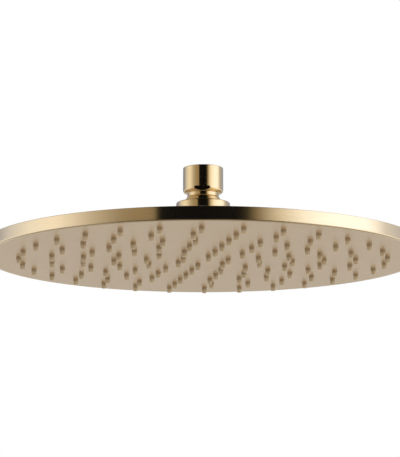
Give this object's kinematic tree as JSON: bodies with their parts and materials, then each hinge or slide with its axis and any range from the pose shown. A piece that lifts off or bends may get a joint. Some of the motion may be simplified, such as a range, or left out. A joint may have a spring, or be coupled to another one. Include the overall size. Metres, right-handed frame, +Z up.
{
  "type": "round overhead shower head",
  "caption": "Slim round overhead shower head with a brushed metal face, soft silicone nozzles and a ball swivel with a threaded inlet.",
  "frame": {"origin": "centre of the inlet's mouth, at the top face of the nut", "axes": "+Z up along the inlet's axis, away from the disc; +X and +Y across the disc"},
  "size_m": [0.3, 0.3, 0.0687],
  "materials": {
    "polished_gold": "polished gold plating on turned brass",
    "brushed_gold": "gold plating brushed round the rim and the back",
    "face_gold": "fine brushed pale gold",
    "silicone": "matt translucent silicone",
    "black_rubber": "matt moulded rubber",
    "red_rubber": "satin rubber",
    "white_plastic": "plain acetal",
    "grey_plastic": "moulded, fine grain",
    "steel": "stainless"
  },
  "bodies": {
    "inlet": {"ball_connector": "polished_gold", "inlet_washer": "black_rubber", "inlet_screen": "steel"},
    "regulator": {"regulator_body": "grey_plastic", "regulator_ring": "red_rubber"},
    "seats": {"upper_seat": "white_plastic", "lower_seat": "white_plastic", "ball_seal": "black_rubber", "cushion_ring": "black_rubber"},
    "head": {"collar": "polished_gold", "swivel_housing": "polished_gold", "hub_seal": "black_rubber", "hub_screws": "steel", "top_shell": "brushed_gold", "rim_seal": "black_rubber", "face_plate": "face_gold", "nozzle_mat": "silicone", "retainer_plate": "grey_plastic", "retainer_screws": "steel", "diffuser": "white_plastic"}
  },
  "joints": [
    {"name": "ball_turn", "type": "hinge", "parent": "inlet", "child": "regulator", "pos_m": [0, 0, -0.0279], "axis": [0, 0, 1], "continuous": true},
    {"name": "ball_tilt", "type": "hinge", "parent": "regulator", "child": "seats", "pos_m": [0, 0, -0.0279], "axis": [1, 0, 0], "range_deg": [-14, 14]},
    {"name": "head_spin", "type": "hinge", "parent": "seats", "child": "head", "pos_m": [0, 0, -0.0279], "axis": [0, 0, 1], "continuous": true}
  ]
}
